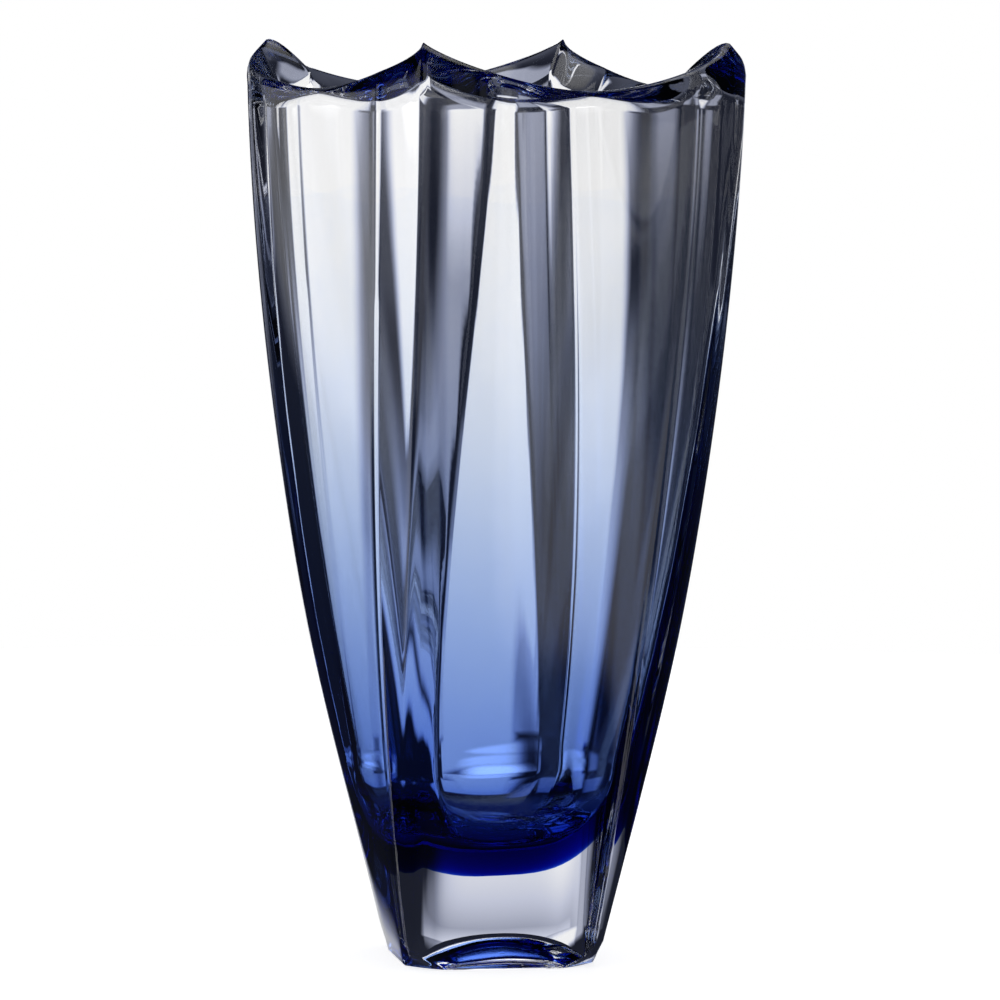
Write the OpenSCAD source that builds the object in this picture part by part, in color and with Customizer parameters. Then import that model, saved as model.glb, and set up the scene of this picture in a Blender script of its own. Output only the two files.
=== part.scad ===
// Cased crystal vase: a thick clear outer glass fused over a blue inner glass.
// The axis is Z and the foot stands on Z = 0. Every horizontal section has fourfold
// symmetry, so one quarter is described, from one ridge to the next, and turned four times.
// Heights along the wall are given as a share h, 0 at the foot and 1 at the tips of the rim.

/* [Outside] */
// Height from the table to the tip of each ridge
vase_height = 254; // [220:1:280]
// Distance from the axis to each ridge at the foot
foot_radius = 35.5; // [34:0.5:40]
// Distance from the axis to each ridge at the rim
rim_radius = 68.5; // [64:0.5:72]
// Turn of each ridge between the foot and the rim, in degrees
ridge_turn = 20.5; // [0:0.5:26]
// Curve of the sides: 1 is a straight taper, more is a fuller belly
belly = 1.75; // [1.2:0.05:2]

/* [Ribs and panels] */
// Width of the short face that climbs to each ridge at the rim, in degrees about the axis
slope_width = 13.5; // [8:0.5:18]
// Width of the round shoulder just past each ridge at the rim, in degrees
shoulder_width = 16; // [8:0.5:20]
// Depth of the foot of the short face below the ridge circle at the rim, as a share of the radius
slope_depth = 0.075; // [0.04:0.005:0.1]

/* [Rim] */
// Dip of the rim between two ridges
scallop_depth = 13; // [4:0.5:16]
// How far the rim's outer edge lies below its crest at a ridge
ridge_bevel = 7; // [2:0.5:8]
// How far the outer edge lies below the crest at the middle of a panel
panel_bevel = 0.9; // [0.5:0.1:2]
// How far the rim's inner edge lies below its crest at a ridge
ridge_drop = 8.5; // [1:0.5:9]

/* [Inside] */
// Height of the cavity's floor above the table
floor_height = 33.5; // [31:0.5:38]
// Height at which the round bottom of the cavity becomes its side
bowl_height = 58; // [50:1:70]
// Wall at the middle of a panel, at the foot
foot_wall = 8.6; // [7:0.2:10]
// Wall at the middle of a panel, at the rim
rim_wall = 7.9; // [6.5:0.2:9]
// Glass between a ridge and the cavity, at the foot
foot_rib_wall = 10.2; // [9:0.2:13]
// Glass between a ridge and the cavity, at the rim
rim_rib_wall = 5.8; // [5:0.2:10]
// Turn of the square cavity against the panels at the rim, in degrees
cavity_turn = 10; // [0:1:12]

/* [Blue lining] */
// Thickness of the blue glass under the cavity's floor
lining_floor = 7; // [3:0.5:9]
// Thickness of the blue glass at the bottom of the side
lining_side = 2.5; // [2:0.5:4]
// Thickness of the blue glass where it ends
lining_edge = 0.4; // [0.3:0.1:0.8]
// Share of the cavity's side that the lining covers
lining_share = 0.85; // [0.5:0.05:0.9]

/* [Foot] */
// Rise of the polished hollow under the foot
hollow_height = 10; // [2:0.5:12]
// Size of the hollow, as a share of the foot
hollow_share = 0.955; // [0.7:0.005:0.96]
// Height of the round along the bottom edge
foot_bevel = 0.8; // [0.4:0.2:3]
// How far the foot's corners are polished up off the table
corner_lift = 3.2; // [0.5:0.1:5]

/* [Hidden] */

crystal_colour = [0.86, 0.90, 0.97, 0.45];
sapphire_colour = [0.02, 0.12, 0.62, 0.85];

foot_angle = -135;        // direction of the first ridge at the foot
turn_curve = 1.95;        // how early the ridges take up their turn
slope_curve = 3.6;        // how early the short faces reach their full width
depth_curve = 1.1;        // how early the short faces reach their full depth
foot_slope_width = 2;     // width of the short face at the foot, in degrees
foot_shoulder_width = 5;  // width of the shoulder at the foot, in degrees
shoulder_reach = 0.45;    // height share at which the shoulders reach their full width
shoulder_swell = 0.017;   // how far the shoulder stands outside the ridge circle
swell_reach = 8;          // angle past the ridge at which the shoulder is at its fullest
tiny = 0.0001;            // keeps a blend of zero width defined
corner_blend = 0.04;      // softness of the turn from shoulder to panel
foot_cavity_blend = 0.15; // softness of the cavity's corners at the foot
rim_cavity_blend = 0.11;  // and at the rim
bowl_fullness = 0.6;      // how square the round bottom of the cavity is from the side
ring_share = 0.985;       // size of the flat under the foot, as a share of the foot
ring_radius = 30.5;       // largest distance of that flat from the axis
hollow_radius = 29.5;     // largest distance of the hollow's edge from the axis
hollow_blend = 0.02;      // softness of the hollow's corners
hollow_curve = 2.2;       // how flat the top of the hollow is
hollow_edge = 0.6;        // how steep the edge of the hollow is
hollow_square = 4;        // how near its edge the hollow turns from round to square
ridge_spread = 0.75;      // how closely the rim's slopes keep to the ridges
edge_share = 0.06;        // place of the rim's round outer edge across the rim
edge_rise = 0.75;         // share of the way from the outer edge up to the crest, there
crest_share = 0.32;       // place of the crest across the rim, from its outer side
scallop_start = 0.85;     // steepness of the scallop just past a ridge
scallop_end = 0.6;        // steepness of the scallop just before a ridge
lining_fade = 2;          // how early the lining thins out

// Columns of one quarter: a share of the way across the panel, then across the short face.
panel_steps = 15;
slope_steps = 4;
columns = [
    for (i = [0:panel_steps - 1]) [i / panel_steps, 0],
    for (i = [0:slope_steps - 1]) [1, i / slope_steps]
];
side_rows = 30;
bevel_rows = 2;
cavity_rows = 4;
lining_rows = 12;
bowl_rows = 9;
hollow_rows = 7;

function mix(a, b, k) = a + (b - a) * k;
function rise(h, power) = 1 - pow(1 - min(max(h, 0), 1), power);
function soft_min(a, b, k) = min(a, b) - k * ln(1 + exp(-abs(a - b) / k));

// Radius at angle p of the straight line through (r1, p1) and (r2, p2).
function line_radius(r1, p1, r2, p2, p) =
    r1 * r2 * sin(p2 - p1) / (r1 * sin(p - p1) + r2 * sin(p2 - p));

function ridge_radius(h) = mix(foot_radius, rim_radius, rise(h, belly));
function ridge_angle(h) = foot_angle + ridge_turn * rise(h, turn_curve);
function slope_angle(h) = mix(foot_slope_width, slope_width, rise(h, slope_curve));
function shoulder_angle(h) =
    mix(foot_shoulder_width, shoulder_width, pow(sin(90 * min(h / shoulder_reach, 1)), 2));
function valley_share(h) = 1 - slope_depth * pow(sin(90 * h), depth_curve);

// Angle past the ridge of a column at height share h.
function column_angle(column, h) =
    column[0] < 1
        ? column[0] * (90 - slope_angle(h))
        : 90 - slope_angle(h) * (1 - column[1]);

// Outer radius as a share of the ridge radius, at angle p past the ridge.
function panel_share(p, h) =
    line_radius(1 + shoulder_swell * h, shoulder_angle(h), valley_share(h), 90 - slope_angle(h), p);
function shoulder_share(p, h) = 1 + shoulder_swell * h * sin(90 * min(p / swell_reach, 1));
function outer_share(p, h) =
    p < 90 - slope_angle(h)
        ? soft_min(
            shoulder_share(p, h),
            panel_share(p, h),
            corner_blend * min(p / swell_reach, 1) + tiny
        )
        : line_radius(valley_share(h), 90 - slope_angle(h), 1, 90, p);
function outer_radius(p, h) = ridge_radius(h) * outer_share(p, h);

// The two edges of a panel as points across the axis, and the direction the panel faces,
// past its ridge.
function panel_edge(share, p) = share * [cos(p), sin(p)];
function panel_facing(h) =
    let(
        edge = panel_edge(1 + shoulder_swell * h, shoulder_angle(h)),
        along = panel_edge(valley_share(h), 90 - slope_angle(h)) - edge
    )
    atan2(-along[0], along[1]);
function panel_distance(h) =
    (1 + shoulder_swell * h) * cos(shoulder_angle(h) - panel_facing(h));

// Angle a from the middle of the nearest side of a square.
function from_middle(a) = a - 90 * round(a / 90);

// Cavity radius: a square with rounded corners, turned a little against the panels.
function cavity_radius(p, h) =
    let(
        side = panel_distance(h) - mix(foot_wall, rim_wall, h) / ridge_radius(h),
        corner = 1 - mix(foot_rib_wall, rim_rib_wall, h) / ridge_radius(h),
        past_middle = from_middle(p - panel_facing(h) - cavity_turn * h)
    )
    ridge_radius(h) * soft_min(
        corner,
        side / cos(past_middle),
        mix(foot_cavity_blend, rim_cavity_blend, h)
    );

// Heights of the rim's crest and of its outer and inner edges at angle p past the ridge.
function rim_crest(p) =
    vase_height - scallop_depth * pow(max(sin(2 * p), 0), mix(scallop_start, scallop_end, p / 90));
function ridge_share(p) = pow(pow(cos(2 * p), 2), ridge_spread);
function outer_rim(p) = rim_crest(p) - mix(panel_bevel, ridge_bevel, ridge_share(p));
function inner_rim(p) = rim_crest(p) - ridge_drop * ridge_share(p);

// Outer edge of the flat under the foot, lift of the side's bottom edge, edge of the hollow.
function flat_radius(p) = min(outer_radius(p, 0) * ring_share, ring_radius);
function edge_lift(p) =
    corner_lift * max(outer_radius(p, 0) - ring_radius, 0) / max(foot_radius - ring_radius, 1);
function hollow_outline(p) =
    foot_radius * soft_min(
        outer_share(p, 0) * hollow_share,
        hollow_radius / foot_radius,
        hollow_blend
    );

// One point, from an angle past the ridge and the share of the height that turns the ridges.
function place(radius, p, h, z) =
    let(a = ridge_angle(h) + p)
    [radius * cos(a), radius * sin(a), z];

// A ring is a list of points, one for each column of each quarter.
function ring(quarter_point) =
    [for (q = [0:3]) for (point = quarter_point) turned(point, 90 * q)];
function turned(point, a) =
    [point[0] * cos(a) - point[1] * sin(a), point[0] * sin(a) + point[1] * cos(a), point[2]];

// Outer side, k = 0 at the bottom edge and 1 at the outer edge of the rim.
function side_ring(k) = ring([
    for (column = columns)
        let(
            low = edge_lift(column_angle(column, 0)) + foot_bevel,
            z = mix(low, outer_rim(column_angle(column, 1)), k),
            h = z / vase_height,
            p = column_angle(column, h)
        )
        place(outer_radius(p, h), p, h, z)
]);

// Round along the bottom edge, from the flat under the foot (t = 0) to the side (t = 1).
function bevel_ring(t) = ring([
    for (column = columns)
        let(
            p = column_angle(column, 0),
            flat = [flat_radius(p), 0],
            corner = [outer_radius(p, 0), edge_lift(p)],
            top = corner + [0, foot_bevel],
            point = mix(mix(flat, corner, t), mix(corner, top, t), t)
        )
        place(point[0], p, 0, point[1])
]);

// Hollow under the foot: a dome, round at the top and square like the foot at its edge.
function hollow_ring(k) = ring([
    for (column = columns)
        let(
            p = column_angle(column, 0),
            middle = hollow_outline(45),
            radius = mix(middle, hollow_outline(p), pow(k, hollow_square)) * k
        )
        place(radius, p, 0, hollow_height * pow(1 - pow(k, hollow_curve), hollow_edge))
]);

// Top of the rim: its round outer edge (lift below 1) and its crest (lift 1).
function rim_ring(across, lift) = ring([
    for (column = columns)
        let(
            p = column_angle(column, 1),
            radius = mix(outer_radius(p, 1), cavity_radius(p, 1), across)
        )
        place(radius, p, 1, mix(outer_rim(p), rim_crest(p), lift))
]);

// Cavity's side, k = 1 at the inner edge of the rim and 0 where the round bottom starts,
// moved outwards by a thickness.
function cavity_ring(k, thickness) = ring([
    for (column = columns)
        let(
            z = mix(bowl_height, inner_rim(column_angle(column, 1)), k),
            h = z / vase_height,
            p = column_angle(column, h)
        )
        place(cavity_radius(p, h) + thickness, p, h, z)
]);

// Round bottom, b = 90 at the side and 0 at the middle of the floor, for the cavity
// (thickness 0) and for the underside of the lining.
function bowl_ring(b, side_thickness, floor_thickness) = ring([
    for (column = columns)
        let(
            z = mix(bowl_height, floor_height - floor_thickness, cos(b)),
            h = bowl_height / vase_height,
            p = column_angle(column, h),
            across = pow(sin(b), bowl_fullness),
            outline = mix(cavity_radius(panel_facing(h), h), cavity_radius(p, h), pow(across, 2))
        )
        place((outline + side_thickness) * across, p, h, z)
]);

function lining_thickness(k) = mix(lining_edge, lining_side, pow(1 - k / lining_share, lining_fade));

// Cavity from share from to share to of its side.
function cavity_rings(from, to, steps) = [
    for (i = [0:steps]) cavity_ring(mix(from, to, i / steps), 0)
];
function bowl_rings(side_thickness, floor_thickness) = [
    for (i = [1:bowl_rows - 1]) bowl_ring(90 * i / bowl_rows, side_thickness, floor_thickness)
];
function lining_outer_rings() = [
    for (i = [0:lining_rows])
        let(k = lining_share * i / lining_rows)
        cavity_ring(k, lining_thickness(k))
];
function hollow_rings() = [for (i = [1:hollow_rows]) hollow_ring(sin(90 * i / hollow_rows))];
function bevel_rings() = [for (i = [0:bevel_rows - 1]) bevel_ring(i / bevel_rows)];
function side_rings() = [for (i = [0:side_rows]) side_ring(i / side_rows)];

function reversed(list) = [for (i = [len(list) - 1:-1:0]) list[i]];

// Closed skin through rings that run from a bottom centre point to a top one.
module skin(bottom, rings, top) {
    count = len(rings[0]);
    points = [bottom, for (r = rings) each r, top];
    last = len(points) - 1;
    faces = [
        for (i = [0:count - 1]) [0, 1 + i, 1 + (i + 1) % count],
        for (r = [0:len(rings) - 2]) for (i = [0:count - 1])
            let(
                a = 1 + r * count + i,
                b = 1 + r * count + (i + 1) % count
            )
            each [[a, a + count, b], [b, a + count, b + count]],
        for (i = [0:count - 1])
            [last, last - count + (i + 1) % count, last - count + i]
    ];
    polyhedron(points = points, faces = faces, convexity = 10);
}

// Clear outer glass: up the outside from the hollow under the foot, over the rim, down the
// open part of the cavity and round the seat of the lining.
module crystal_body() {
    color(crystal_colour)
        skin(
            [0, 0, hollow_height],
            concat(
                hollow_rings(),
                bevel_rings(),
                side_rings(),
                [rim_ring(edge_share, edge_rise), rim_ring(crest_share, 1)],
                reversed(cavity_rings(lining_share, 1, cavity_rows)),
                reversed(lining_outer_rings()),
                reversed(bowl_rings(lining_side, lining_floor))
            ),
            [0, 0, floor_height - lining_floor]
        );
}

// Blue inner glass: a cup that fills the seat and forms the lower part of the cavity.
module sapphire_lining() {
    color(sapphire_colour)
        skin(
            [0, 0, floor_height - lining_floor],
            concat(
                bowl_rings(lining_side, lining_floor),
                lining_outer_rings(),
                reversed(cavity_rings(0, lining_share, lining_rows)),
                reversed(bowl_rings(0, 0))
            ),
            [0, 0, floor_height]
        );
}

crystal_body();
sapphire_lining();
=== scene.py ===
"""Cut crystal vase: the visual model and its studio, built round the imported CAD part.

Two pieces of glass replace the two CAD nodes: a thick clear casing with its true cavity, and the
blue lining, which lies just inside the clear glass so that light crosses it without a gap of air.
Sizes are in millimetres of the CAD part, and MM turns them into the frame's metres.
"""
import math
from collections import namedtuple

import bpy
from mathutils import Matrix, Vector


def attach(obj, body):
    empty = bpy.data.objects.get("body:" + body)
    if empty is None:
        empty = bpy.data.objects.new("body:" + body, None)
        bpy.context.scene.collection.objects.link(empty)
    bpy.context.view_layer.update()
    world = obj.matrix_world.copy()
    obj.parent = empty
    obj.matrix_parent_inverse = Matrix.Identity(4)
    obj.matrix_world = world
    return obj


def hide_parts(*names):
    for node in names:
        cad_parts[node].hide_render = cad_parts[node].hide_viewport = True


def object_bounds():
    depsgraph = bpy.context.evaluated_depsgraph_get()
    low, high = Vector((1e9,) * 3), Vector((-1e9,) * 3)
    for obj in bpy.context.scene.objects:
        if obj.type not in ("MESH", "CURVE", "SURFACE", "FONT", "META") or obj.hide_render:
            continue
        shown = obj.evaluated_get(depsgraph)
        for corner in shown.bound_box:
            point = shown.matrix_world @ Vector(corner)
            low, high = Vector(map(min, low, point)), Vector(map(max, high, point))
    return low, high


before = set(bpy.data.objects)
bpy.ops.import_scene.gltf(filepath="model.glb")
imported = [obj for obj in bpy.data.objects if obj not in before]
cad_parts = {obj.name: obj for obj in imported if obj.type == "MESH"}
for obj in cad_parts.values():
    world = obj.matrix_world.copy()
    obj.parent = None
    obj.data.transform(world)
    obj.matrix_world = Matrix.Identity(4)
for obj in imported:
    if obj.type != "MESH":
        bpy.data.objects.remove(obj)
cad_low, cad_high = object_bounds()

# ---------------------------------------------------------------- sizes
VASE_HEIGHT = 254.0
MM = cad_high.z / VASE_HEIGHT

FOOT_RADIUS = 35.5          # axis to ridge, at the foot
RIM_RADIUS = 68.5           # axis to ridge, at the rim
BELLY = 1.75                # fullness of the sides
FOOT_ANGLE = -135.0         # direction of the first ridge at the foot
RIDGE_TURN = 20.5           # turn of the ridges between the foot and the rim
TURN_CURVE = 1.95           # how early the ridges take up their turn

FOOT_SLOPE_WIDTH = 2.0      # the short face that climbs to each ridge, in degrees
SLOPE_WIDTH = 13.5
SLOPE_CURVE = 3.6           # how early the short faces reach their full width
SLOPE_DEPTH = 0.075         # depth of their lower edge, as a share of the radius
DEPTH_CURVE = 1.1           # how early they reach their full depth
FOOT_SHOULDER_WIDTH = 5.0   # the round shoulder past each ridge, in degrees
SHOULDER_WIDTH = 16.0
SHOULDER_REACH = 0.45       # height share at which the shoulders reach their full width
SHOULDER_SWELL = 0.017      # how far the shoulder stands outside the ridge circle
SWELL_REACH = 8.0           # angle past the ridge at which the shoulder is at its fullest
CORNER_BLEND = 0.04         # softness of the turn from shoulder to panel
CUT_ROUND = 1.0             # half width of the polish along each ridge and valley, in degrees

SCALLOP_DEPTH = 13.0        # dip of the rim between two ridges
SCALLOP_START = 0.85        # steepness of the scallop just past a ridge
SCALLOP_END = 0.6           # and just before the next one
RIDGE_BEVEL = 7.0           # how far the rim's outer edge lies below its crest at a ridge
PANEL_BEVEL = 0.9           # the same at the middle of a panel
RIDGE_DROP = 8.5            # how far the rim's inner edge lies below its crest at a ridge
RIDGE_SPREAD = 0.75         # how closely the rim's slopes keep to the ridges
EDGE_RISE = 0.95            # how near the crest the rim's outer edge is rounded off
CREST_SHARE = 0.32          # place of the crest across the rim, from its outer side

FLOOR_HEIGHT = 33.5         # cavity's floor above the table
BOWL_HEIGHT = 58.0          # where the round bottom of the cavity becomes its side
BOWL_FULLNESS = 0.6         # how square the round bottom is from the side
FOOT_WALL = 8.6             # wall at the middle of a panel
RIM_WALL = 7.9
FOOT_RIB_WALL = 10.2        # glass between a ridge and the cavity
RIM_RIB_WALL = 5.8
CAVITY_TURN = 10.0          # turn of the square cavity against the panels at the rim, in degrees
FOOT_CAVITY_BLEND = 0.15    # softness of the cavity's corners
RIM_CAVITY_BLEND = 0.11

LINING_FLOOR = 7.0          # thickness of the blue glass under the floor
LINING_SIDE = 2.5           # and at the bottom of the side
LINING_EDGE = 0.06          # and where it ends
LINING_SHARE = 0.85         # share of the cavity's side that it covers
LINING_FADE = 2.0           # how early it thins out
LINING_INSET = 0.05         # clear glass between the lining and the cavity

HOLLOW_HEIGHT = 10.0        # polished hollow under the foot
HOLLOW_SHARE = 0.955        # its size, as a share of the foot
HOLLOW_RADIUS = 29.5        # largest distance of the hollow's edge from the axis
HOLLOW_BLEND = 0.02         # softness of its corners
HOLLOW_CURVE = 2.2          # flatness of its top
HOLLOW_EDGE = 0.6           # steepness of its edge
HOLLOW_SQUARE = 4           # how near its edge it turns from round to square
FOOT_RING_SHARE = 0.985     # size of the flat under the foot, as a share of the foot
FOOT_RING_RADIUS = 30.5     # largest distance of the flat under the foot from the axis
FOOT_BEVEL = 0.8            # height of the round along the bottom edge
CORNER_LIFT = 3.2           # how far the foot's corners are polished up off the table
TINY = 0.0001               # keeps a blend of zero width defined

# Columns across a panel and a short face, and rows up each surface.
PANEL_STEPS = 40
SLOPE_STEPS = 14
SIDE_ROWS = 70
CAVITY_ROWS = 60
LINING_ROWS = 50
BOWL_ROWS = 20
RIM_ROWS = 14
HOLLOW_ROWS = 16
BEVEL_ROWS = 5
POLISH_STEPS = (-1, -0.5, 0, 0.5, 1)
GATHERING = 0.6             # how far the columns gather towards ridges and valleys


# ---------------------------------------------------------------- the section of the vase
def sin(degrees):
    return math.sin(math.radians(degrees))


def cos(degrees):
    return math.cos(math.radians(degrees))


def mix(a, b, k):
    return a + (b - a) * k


def clamp(value):
    return min(max(value, 0.0), 1.0)


def rise(h, power):
    return 1 - (1 - clamp(h)) ** power


def soft_min(a, b, k):
    return min(a, b) - k * math.log1p(math.exp(-abs(a - b) / k))


def line_radius(r1, p1, r2, p2, p):
    """Radius at angle p of the straight line through (r1, p1) and (r2, p2)."""
    return r1 * r2 * sin(p2 - p1) / (r1 * sin(p - p1) + r2 * sin(p2 - p))


def ridge_radius(h):
    return mix(FOOT_RADIUS, RIM_RADIUS, rise(h, BELLY))


def ridge_angle(h):
    return FOOT_ANGLE + RIDGE_TURN * rise(h, TURN_CURVE)


def slope_angle(h):
    return mix(FOOT_SLOPE_WIDTH, SLOPE_WIDTH, rise(h, SLOPE_CURVE))


def shoulder_angle(h):
    return mix(FOOT_SHOULDER_WIDTH, SHOULDER_WIDTH, sin(90 * min(h / SHOULDER_REACH, 1)) ** 2)


def valley_share(h):
    return 1 - SLOPE_DEPTH * sin(90 * clamp(h)) ** DEPTH_CURVE


def cut_share(p, h):
    """Outer radius as a share of the ridge radius, p degrees past a ridge, before polishing."""
    p = p % 90
    valley = 90 - slope_angle(h)
    if p >= valley:
        return line_radius(valley_share(h), valley, 1, 90, p)
    reach = min(p / SWELL_REACH, 1)
    shoulder = 1 + SHOULDER_SWELL * h * sin(90 * reach)
    panel = line_radius(1 + SHOULDER_SWELL * h, shoulder_angle(h), valley_share(h), valley, p)
    return soft_min(shoulder, panel, CORNER_BLEND * reach + TINY)


def outer_radius(p, h):
    """The cut surface with its ridges and valleys rounded by the polish."""
    shares = [cut_share(p + CUT_ROUND * step, h) for step in POLISH_STEPS]
    return ridge_radius(h) * sum(shares) / len(shares)


def panel_face(h):
    """The direction a panel faces, past its ridge, and its distance as a share of the radius."""
    start, end = shoulder_angle(h), 90 - slope_angle(h)
    first, last = 1 + SHOULDER_SWELL * h, valley_share(h)
    across = first * cos(start) - last * cos(end)
    along = last * sin(end) - first * sin(start)
    facing = math.degrees(math.atan2(across, along))
    return facing, first * cos(start - facing)


def cavity_radius(p, h):
    """A square with rounded corners, turned a little against the panels."""
    radius = ridge_radius(h)
    facing, distance = panel_face(h)
    side = distance - mix(FOOT_WALL, RIM_WALL, h) / radius
    corner = 1 - mix(FOOT_RIB_WALL, RIM_RIB_WALL, h) / radius
    past_middle = p - facing - CAVITY_TURN * h
    past_middle = (past_middle + 45) % 90 - 45
    blend = mix(FOOT_CAVITY_BLEND, RIM_CAVITY_BLEND, h)
    return radius * soft_min(corner, side / cos(past_middle), blend)


def ring_radius(p):
    """Outer edge of the flat under the foot."""
    return min(outer_radius(p, 0) * FOOT_RING_SHARE, FOOT_RING_RADIUS)


def corner_lift(p):
    beyond = max(outer_radius(p, 0) - FOOT_RING_RADIUS, 0)
    return CORNER_LIFT * beyond / (FOOT_RADIUS - FOOT_RING_RADIUS)


def hollow_outline(p):
    share = outer_radius(p, 0) * HOLLOW_SHARE / FOOT_RADIUS
    return FOOT_RADIUS * soft_min(share, HOLLOW_RADIUS / FOOT_RADIUS, HOLLOW_BLEND)


def rim_crest(p):
    power = mix(SCALLOP_START, SCALLOP_END, p / 90)
    return VASE_HEIGHT - SCALLOP_DEPTH * max(sin(2 * p), 0) ** power


def ridge_share(p):
    """1 at a ridge and 0 at the middle of a panel."""
    return (cos(2 * p) ** 2) ** RIDGE_SPREAD


def outer_rim(p):
    return rim_crest(p) - mix(PANEL_BEVEL, RIDGE_BEVEL, ridge_share(p))


def inner_rim(p):
    return rim_crest(p) - RIDGE_DROP * ridge_share(p)


def gather(k):
    """Spaces steps more closely at both ends."""
    return mix(k, k * k * (3 - 2 * k), GATHERING)


COLUMNS = [(gather(i / PANEL_STEPS), 0) for i in range(PANEL_STEPS)]
COLUMNS += [(1, gather(i / SLOPE_STEPS)) for i in range(SLOPE_STEPS)]


def column_angle(column, h):
    across_panel, across_slope = column
    if across_panel < 1:
        return across_panel * (90 - slope_angle(h))
    return 90 - slope_angle(h) * (1 - across_slope)


# ---------------------------------------------------------------- rings of points
def ring(point_of_column):
    """Four turned copies of one quarter. point_of_column gives radius, angle and height."""
    points = []
    for quarter in range(4):
        for column in COLUMNS:
            radius, angle, z = point_of_column(column)
            a = angle + 90 * quarter
            points.append(Vector((radius * cos(a), radius * sin(a), z)) * MM)
    return points


def side_ring(k):
    def point(column):
        low = corner_lift(column_angle(column, 0)) + FOOT_BEVEL
        z = mix(low, outer_rim(column_angle(column, 1)), k)
        h = z / VASE_HEIGHT
        p = column_angle(column, h)
        return outer_radius(p, h), ridge_angle(h) + p, z
    return ring(point)


def bevel_ring(t):
    """Polished edge of the foot, from the flat (t = 0) to the side (t = 1)."""
    def point(column):
        p = column_angle(column, 0)
        outer, lift = outer_radius(p, 0), corner_lift(p)
        corners = [(ring_radius(p), 0), (outer, lift), (outer, lift + FOOT_BEVEL)]
        radius, z = curve_through(corners, t)
        return radius, ridge_angle(0) + p, z
    return ring(point)


def hollow_ring(k):
    """A dome under the foot, round at its top and square like the foot at its edge."""
    def point(column):
        p = column_angle(column, 0)
        radius = mix(hollow_outline(45), hollow_outline(p), k ** HOLLOW_SQUARE) * k
        z = HOLLOW_HEIGHT * (1 - k ** HOLLOW_CURVE) ** HOLLOW_EDGE
        return radius, ridge_angle(0) + p, z
    return ring(point)


def curve_through(corners, t):
    """Quadratic B-spline that starts and ends on the first and last corner."""
    spans = len(corners) - 2
    position = t * spans
    i = min(int(position), spans - 1)
    u = position - i
    a, b, c = corners[i], corners[i + 1], corners[i + 2]
    start = a if i == 0 else [(m + n) / 2 for m, n in zip(a, b)]
    end = c if i == spans - 1 else [(m + n) / 2 for m, n in zip(b, c)]
    return [
        (1 - u) ** 2 * s + 2 * u * (1 - u) * m + u * u * e
        for s, m, e in zip(start, b, end)
    ]


def rim_ring(t):
    """The polished rim, from the outer side (t = 0) over its top to the cavity (t = 1)."""
    def point(column):
        p = column_angle(column, 1)
        outer, inner = outer_radius(p, 1), cavity_radius(p, 1)
        low, crest, edge = outer_rim(p), rim_crest(p), inner_rim(p)
        corners = [
            (outer, low),
            (outer, mix(low, crest, EDGE_RISE)),
            (mix(outer, inner, CREST_SHARE), crest),
            (inner, edge),
            (inner, edge - PANEL_BEVEL),
        ]
        radius, z = curve_through(corners, t)
        return radius, ridge_angle(1) + p, z
    return ring(point)


def cavity_ring(k, thickness=0.0):
    """Cavity's side from its round bottom (k = 0) to the rim (k = 1), moved outwards."""
    def point(column):
        z = mix(BOWL_HEIGHT, inner_rim(column_angle(column, 1)) - PANEL_BEVEL, k)
        h = z / VASE_HEIGHT
        p = column_angle(column, h)
        return cavity_radius(p, h) + thickness, ridge_angle(h) + p, z
    return ring(point)


def bowl_ring(b, side, floor):
    """Round bottom from its middle (b = 0) to the side (b = 90), thicker by side and floor."""
    def point(column):
        z = mix(BOWL_HEIGHT, FLOOR_HEIGHT - floor, cos(b))
        h = BOWL_HEIGHT / VASE_HEIGHT
        p = column_angle(column, h)
        across = sin(b) ** BOWL_FULLNESS
        facing, _ = panel_face(h)
        outline = mix(cavity_radius(facing, h), cavity_radius(p, h), across ** 2)
        return (outline + side) * across, ridge_angle(h) + p, z
    return ring(point)


def lining_thickness(k):
    return mix(LINING_EDGE, LINING_SIDE, (1 - k / LINING_SHARE) ** LINING_FADE)


def steps(first, last, count):
    return [mix(first, last, i / count) for i in range(count + 1)]


def bowl_rings(side, floor):
    return [bowl_ring(b, side, floor) for b in steps(0, 90, BOWL_ROWS)[1:-1]]


# ---------------------------------------------------------------- meshes
def closed_mesh(name, bottom, rings, top):
    """Closed skin through rings that run from a point on the axis to another one."""
    count = len(rings[0])
    points = [Vector((0, 0, bottom * MM))]
    for points_of_ring in rings:
        points += points_of_ring
    points.append(Vector((0, 0, top * MM)))
    last = len(points) - 1
    faces = []
    for i in range(count):
        j = (i + 1) % count
        faces.append((0, 1 + j, 1 + i))
        for r in range(len(rings) - 1):
            a = 1 + r * count
            faces.append((a + i, a + j, a + count + j, a + count + i))
        faces.append((last, last - count + i, last - count + j))
    mesh = bpy.data.meshes.new(name)
    mesh.from_pydata(points, [], faces)
    mesh.validate()
    mesh.shade_smooth()
    piece = bpy.data.objects.new(name, mesh)
    bpy.context.collection.objects.link(piece)
    return piece


def crystal_piece():
    rings = [hollow_ring(sin(a)) for a in steps(0, 90, HOLLOW_ROWS)[1:]]
    rings += [bevel_ring(t) for t in steps(0, 1, BEVEL_ROWS)]
    rings += [side_ring(k) for k in steps(0, 1, SIDE_ROWS)[1:]]
    rings += [rim_ring(t) for t in steps(0, 1, RIM_ROWS)[1:-1]]
    rings += [cavity_ring(k) for k in steps(1, 0, CAVITY_ROWS)]
    rings += bowl_rings(0, 0)[::-1]
    return closed_mesh("crystal_casing", HOLLOW_HEIGHT, rings, FLOOR_HEIGHT)


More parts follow.
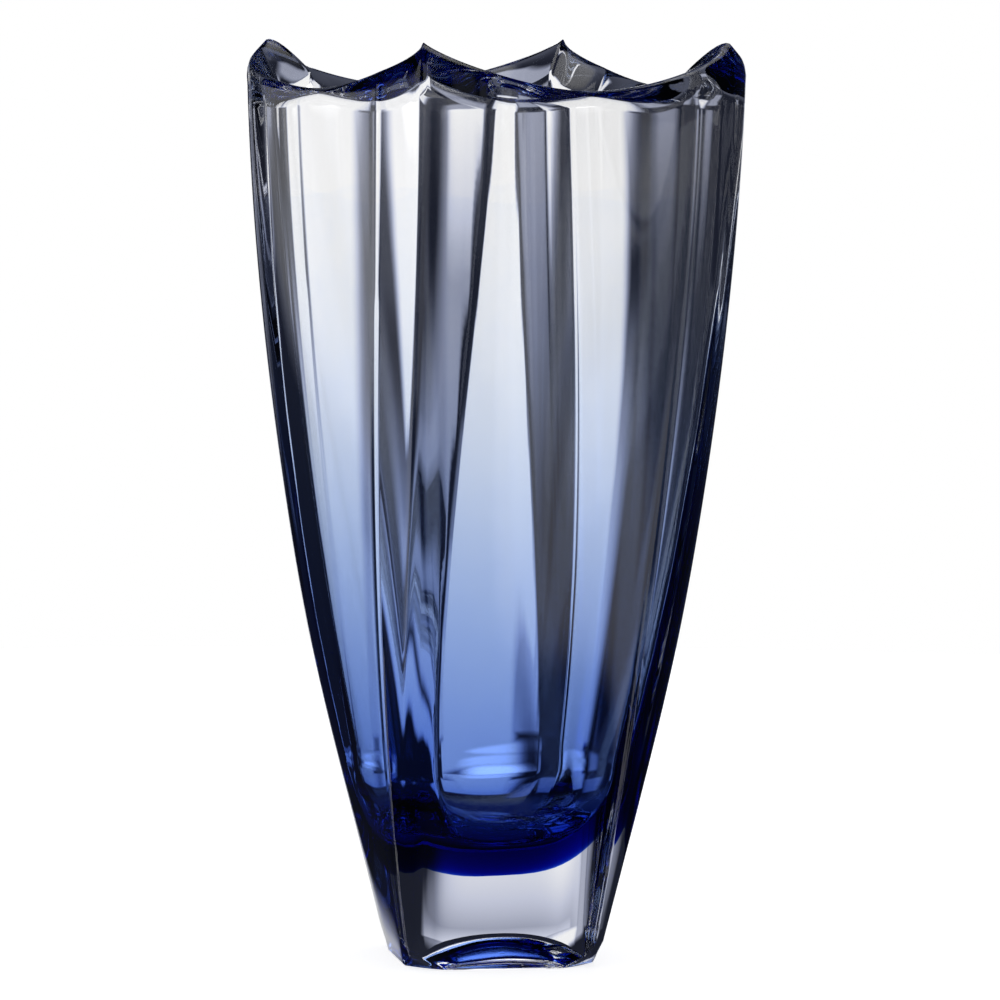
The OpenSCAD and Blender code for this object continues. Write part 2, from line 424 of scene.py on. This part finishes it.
def lining_piece():
    rings = bowl_rings(LINING_SIDE, LINING_FLOOR)
    rings += [
        cavity_ring(k, lining_thickness(k) + LINING_INSET)
        for k in steps(0, LINING_SHARE, LINING_ROWS)
    ]
    rings += [cavity_ring(k, LINING_INSET) for k in steps(LINING_SHARE, 0, LINING_ROWS)]
    rings += bowl_rings(LINING_INSET, LINING_INSET)[::-1]
    return closed_mesh(
        "blue_lining", FLOOR_HEIGHT - LINING_FLOOR, rings, FLOOR_HEIGHT - LINING_INSET
    )


# ---------------------------------------------------------------- materials
CRYSTAL_IOR = 1.545
FUSED_IOR = 1.0             # light doesn't bend where the two glasses are fused
SAPPHIRE_COLOUR = (0.0, 0.31, 0.83)
SAPPHIRE_DENSITY = 0.38     # absorption over a millimetre
WAVE_HEIGHT = 0.01          # waves left by polishing
WAVE_SIZE = 16.0
MARK_SIZE = 3.0             # wipe marks
MARK_DETAIL = 4.0
MARK_RANGE = (0.55, 0.8)    # noise at which a mark starts and is full
MARK_ROUGHNESS = 0.03
CORD_SIZE = 9.0             # patches of slightly deeper blue
CORD_DETAIL = 2.0
CORD_RANGE = (0.35, 0.6)    # noise at which a patch is full and has ended
CORD_COLOUR = (0.985, 0.99, 1.0)
CLEAR = (1.0, 1.0, 1.0)


def math_node(tree, operation, a, b):
    """a and b are numbers or the outputs of other nodes."""
    node = tree.nodes.new("ShaderNodeMath")
    node.operation = operation
    for socket, value in zip(node.inputs, (a, b)):
        if isinstance(value, (int, float)):
            socket.default_value = value
        else:
            tree.links.new(value, socket)
    return node.outputs[0]


def ramp(tree, factor, stops):
    """Colours at the given places between 0 and 1."""
    node = tree.nodes.new("ShaderNodeValToRGB")
    node.color_ramp.interpolation = "LINEAR"
    elements = node.color_ramp.elements
    while len(elements) < len(stops):
        elements.new(0.5)
    for element, (position, colour) in zip(elements, stops):
        element.position = position
        element.color = (*colour, 1)
    tree.links.new(factor, node.inputs["Fac"])
    return node.outputs["Color"]


def smooth_step(tree, value, start, end, top=1.0):
    """Rises softly from 0 at start to top at end."""
    node = tree.nodes.new("ShaderNodeMapRange")
    node.interpolation_type = "SMOOTHSTEP"
    tree.links.new(value, node.inputs["Value"])
    node.inputs["From Min"].default_value = start
    node.inputs["From Max"].default_value = end
    node.inputs["To Max"].default_value = top
    return node.outputs["Result"]


def new_material(name):
    material = bpy.data.materials.new(name)
    material.use_nodes = True
    tree = material.node_tree
    return material, tree, tree.nodes["Principled BSDF"]


def absorb(tree, colour, density):
    """Glass takes up light along its whole depth."""
    volume = tree.nodes.new("ShaderNodeVolumeAbsorption")
    volume.inputs["Color"].default_value = (*colour, 1)
    volume.inputs["Density"].default_value = density
    tree.links.new(volume.outputs["Volume"], tree.nodes["Material Output"].inputs["Volume"])


def noise(tree, size, detail):
    """Random values in the object's own coordinates, in patches of the given size."""
    node = tree.nodes.new("ShaderNodeTexNoise")
    place = tree.nodes.new("ShaderNodeTexCoord").outputs["Object"]
    tree.links.new(place, node.inputs["Vector"])
    node.inputs["Scale"].default_value = 1 / (size * MM)
    node.inputs["Detail"].default_value = detail
    return node.outputs["Fac"]


def clear_glass(shader, refraction):
    shader.inputs["Base Color"].default_value = (1, 1, 1, 1)
    shader.inputs["Roughness"].default_value = 0.0
    shader.inputs["Transmission Weight"].default_value = 1.0
    shader.inputs["IOR"].default_value = refraction


def hand_polish(tree, shader):
    """The slight waves that hand polishing leaves, and faint wipe marks."""
    bump = tree.nodes.new("ShaderNodeBump")
    bump.inputs["Strength"].default_value = 1.0
    bump.inputs["Distance"].default_value = WAVE_HEIGHT * MM
    tree.links.new(noise(tree, WAVE_SIZE, 0), bump.inputs["Height"])
    tree.links.new(bump.outputs["Normal"], shader.inputs["Normal"])
    marks = smooth_step(tree, noise(tree, MARK_SIZE, MARK_DETAIL), *MARK_RANGE, MARK_ROUGHNESS)
    tree.links.new(marks, shader.inputs["Roughness"])


def crystal_material():
    material, tree, shader = new_material("polished_crystal")
    clear_glass(shader, CRYSTAL_IOR)
    hand_polish(tree, shader)
    return material


def sapphire_material():
    """Blue glass, whose colour comes from the light it takes up along its depth."""
    material, tree, shader = new_material("sapphire_lining_glass")
    clear_glass(shader, FUSED_IOR)
    patches = noise(tree, CORD_SIZE, CORD_DETAIL)
    cords = ramp(tree, patches, list(zip(CORD_RANGE, (CORD_COLOUR, CLEAR))))
    tree.links.new(cords, shader.inputs["Base Color"])
    absorb(tree, SAPPHIRE_COLOUR, SAPPHIRE_DENSITY / MM)
    return material


# ---------------------------------------------------------------- the vase
casing = crystal_piece()
casing.data.materials.append(crystal_material())
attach(casing, "root")
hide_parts("crystal_body")

lining = lining_piece()
lining.data.materials.append(sapphire_material())
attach(lining, "root")
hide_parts("sapphire_lining")


# ---------------------------------------------------------------- camera
CAMERA_AZIMUTH = -7.6       # from straight in front, in degrees
CAMERA_DISTANCE = 1927.0    # level distance from the vase's axis
CAMERA_HEIGHT = 271.0
CAMERA_ROLL = 0.353
AIM_HEIGHT = 127.1
AIM_SIDE = 2.0
FIELD_OF_VIEW = 8.187


def add_camera():
    """The photograph's view: a long lens, a little above the vase."""
    side = Vector((cos(CAMERA_AZIMUTH), sin(CAMERA_AZIMUTH), 0))
    back = Vector((sin(CAMERA_AZIMUTH), -cos(CAMERA_AZIMUTH), 0))
    place = (back * CAMERA_DISTANCE + Vector((0, 0, CAMERA_HEIGHT))) * MM
    aim = (side * AIM_SIDE + Vector((0, 0, AIM_HEIGHT))) * MM
    data = bpy.data.cameras.new("camera")
    data.sensor_fit = "HORIZONTAL"
    data.angle = math.radians(FIELD_OF_VIEW)
    camera = bpy.data.objects.new("camera", data)
    turn = (aim - place).to_track_quat("-Z", "Y").to_matrix().to_4x4()
    roll = Matrix.Rotation(math.radians(CAMERA_ROLL), 4, "Z")
    camera.matrix_world = Matrix.Translation(place) @ turn @ roll
    bpy.context.collection.objects.link(camera)
    bpy.context.scene.camera = camera


# ---------------------------------------------------------------- studio
# An upright screen: the middle of its width, half its width, the softness of its sides, its
# lowest and highest elevation, all in degrees as seen from the vase, and its brightness.
Screen = namedtuple("Screen", "azimuth half_width softness lowest highest brightness")
SCREENS = [
    # Behind the vase: what the photograph shows through the panels.
    Screen(85.5, 6.0, 1.2, -18, 2.0, 1.0),
    Screen(87.5, 10.0, 2.5, -22, -5, 0.9),
    Screen(84.5, 4.5, 3.5, -2.4, 2.0, 1.7),
    Screen(83.0, 4.0, 3.5, 1.2, 5.0, 2.4),
    Screen(88.0, 6.0, 4.5, 5.5, 11, 0.95),
    Screen(100.0, 6.0, 3.0, 3, 11, 0.5),
    Screen(70.0, 3.0, 2.5, -3, 3, 0.45),
    Screen(66.0, 8.0, 4.0, -30, -12, 0.45),
    # Behind it on the left.
    Screen(113.0, 5.0, 2.0, -2.0, 5, 1.05),
    Screen(114.0, 7.0, 3.0, -7, 8, 0.4),
    # Left of the vase.
    Screen(138.0, 10.0, 4.0, -40, -14, 0.92),
    Screen(146.0, 5.0, 3.0, -40, 1, 0.92),
    Screen(162.0, 6.5, 3.0, -40, 6, 0.8),
    Screen(184.0, 6.0, 4.0, -18, 9, 0.92),
    Screen(209.0, 6.5, 3.0, -14, 6, 0.7),
    # Behind the camera.
    Screen(262.0, 14.0, 6.0, -10, 20, 0.25),
    Screen(288.0, 5.0, 3.0, -12, 6, 0.35),
    # Right of the vase.
    Screen(318.0, 6.0, 4.0, -30, 1, 0.92),
    Screen(343.0, 6.5, 3.0, -30, 6, 0.7),
]
SCREEN_EDGE = 1.5           # softness of a screen's top and bottom, in degrees


def vector_node(tree, operation, vector, constant):
    node = tree.nodes.new("ShaderNodeVectorMath")
    node.operation = operation
    tree.links.new(vector, node.inputs[0])
    node.inputs[1].default_value = constant
    return node


def screen_light(tree, compass, height, screen):
    """Brightness of one screen in a level direction and at a height (sine of the elevation)."""
    facing = vector_node(tree, "DOT_PRODUCT", compass, (cos(screen.azimuth), sin(screen.azimuth), 0))
    outside = cos(screen.half_width + screen.softness)
    inside = cos(screen.half_width - screen.softness)
    across = smooth_step(tree, facing.outputs["Value"], outside, inside, screen.brightness)
    low, high, soft = screen.lowest, screen.highest, SCREEN_EDGE
    above = smooth_step(tree, height, sin(low - soft), sin(low + soft))
    below = smooth_step(tree, height, sin(high + soft), sin(high - soft))
    return math_node(tree, "MULTIPLY", across, math_node(tree, "MULTIPLY", above, below))


# Sine of the elevation where a light starts, sine of that where it is full, and its brightness.
CEILING = (0.80, 0.95, 1.6)
TABLE_GLOW = (-0.5, -0.8, 0.10)
PAPER_WHITE = (1.0, 1.0, 1.0)
BRIGHTEST = 3.0
# Colour at each brightness: dim light is a little blue.
TINTS = [
    (0.0, (0.012, 0.014, 0.024)),
    (0.35, (0.24, 0.26, 0.35)),
    (0.65, (0.58, 0.61, 0.74)),
    (1.0, (1.0, 1.0, 1.0)),
    (BRIGHTEST, (BRIGHTEST, BRIGHTEST, BRIGHTEST)),
]


def studio_world():
    """White paper for the camera; for the glass, bright screens with dark gaps between them."""
    world = bpy.data.worlds.new("studio")
    world.use_nodes = True
    tree = world.node_tree
    direction = tree.nodes.new("ShaderNodeTexCoord").outputs["Generated"]
    flat = vector_node(tree, "MULTIPLY", direction, (1, 1, 0))
    compass = tree.nodes.new("ShaderNodeVectorMath")
    compass.operation = "NORMALIZE"
    tree.links.new(flat.outputs["Vector"], compass.inputs[0])
    split = tree.nodes.new("ShaderNodeSeparateXYZ")
    tree.links.new(direction, split.inputs[0])
    height = split.outputs["Z"]
    overhead = smooth_step(tree, height, *CEILING)
    underneath = smooth_step(tree, height, *TABLE_GLOW)
    total = math_node(tree, "ADD", overhead, underneath)
    for screen in SCREENS:
        part = screen_light(tree, compass.outputs["Vector"], height, screen)
        total = math_node(tree, "MAXIMUM", total, part)
    share = math_node(tree, "MULTIPLY", total, 1 / BRIGHTEST)
    studio = ramp(tree, share, [(light / BRIGHTEST, tint) for light, tint in TINTS])
    paper = tree.nodes.new("ShaderNodeMix")
    paper.data_type = "RGBA"
    factor, behind, seen = paper.inputs[0], paper.inputs[6], paper.inputs[7]
    tree.links.new(tree.nodes.new("ShaderNodeLightPath").outputs["Is Camera Ray"], factor)
    tree.links.new(studio, behind)
    seen.default_value = (*PAPER_WHITE, 1)
    tree.links.new(paper.outputs[2], tree.nodes["Background"].inputs["Color"])
    bpy.context.scene.world = world


FLOOR_RADIUS = 900.0
FLOOR_POINTS = 128
FLOOR_GREY = 0.8
FLOOR_ROUGHNESS = 0.6
FLOOR_GLOW = 0.85


def add_floor():
    """A round table top of white acrylic, lit from within. The glass doesn't see it."""
    mesh = bpy.data.meshes.new("floor")
    angles = [360 * i / FLOOR_POINTS for i in range(FLOOR_POINTS)]
    points = [Vector((cos(a), sin(a), 0)) * FLOOR_RADIUS * MM for a in angles]
    mesh.from_pydata(points, [], [list(range(FLOOR_POINTS))])
    floor = bpy.data.objects.new("floor", mesh)
    bpy.context.collection.objects.link(floor)
    material, _, shader = new_material("white_acrylic")
    shader.inputs["Base Color"].default_value = (FLOOR_GREY, FLOOR_GREY, FLOOR_GREY, 1)
    shader.inputs["Roughness"].default_value = FLOOR_ROUGHNESS
    shader.inputs["Emission Color"].default_value = (*PAPER_WHITE, 1)
    shader.inputs["Emission Strength"].default_value = FLOOR_GLOW
    mesh.materials.append(material)
    floor.visible_transmission = False
    floor.visible_glossy = False


GLASS_BOUNCES = 28
GLOSS_BOUNCES = 12


def set_light_paths():
    """Light crosses eight and more faces of glass between the camera and the backdrop."""
    scene = bpy.context.scene
    scene.cycles.max_bounces = GLASS_BOUNCES
    scene.cycles.transmission_bounces = GLASS_BOUNCES
    scene.cycles.glossy_bounces = GLOSS_BOUNCES
    scene.view_settings.view_transform = "Standard"


add_camera()
studio_world()
add_floor()
set_light_paths()
